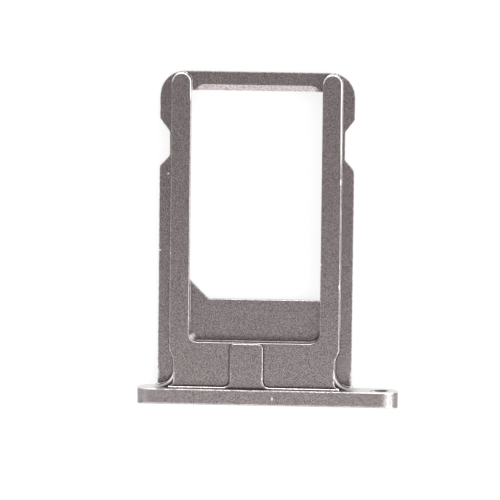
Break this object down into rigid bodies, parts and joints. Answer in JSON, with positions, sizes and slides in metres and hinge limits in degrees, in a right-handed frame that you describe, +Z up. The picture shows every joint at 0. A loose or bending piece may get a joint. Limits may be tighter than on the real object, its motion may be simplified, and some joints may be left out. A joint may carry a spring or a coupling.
{
  "type": "sim card tray",
  "caption": "Flat metal sim card tray: a rounded faceplate with an ejector hole and a stepped frame with side notches that holds a nano card between two rails.",
  "frame": {"origin": "centre of the tray's bounding box in X and Y, at its lowest level in Z", "axes": "+X along the faceplate to its ejector hole, +Y along the frame away from the faceplate, +Z up from the surface the tray lies on, towards the front of the rails"},
  "size_m": [0.0154, 0.0198, 0.002],
  "materials": {
    "tray_metal": "bead-blasted, anodised grey"
  },
  "bodies": {
    "root": {"tray": "tray_metal"}
  },
  "joints": []
}
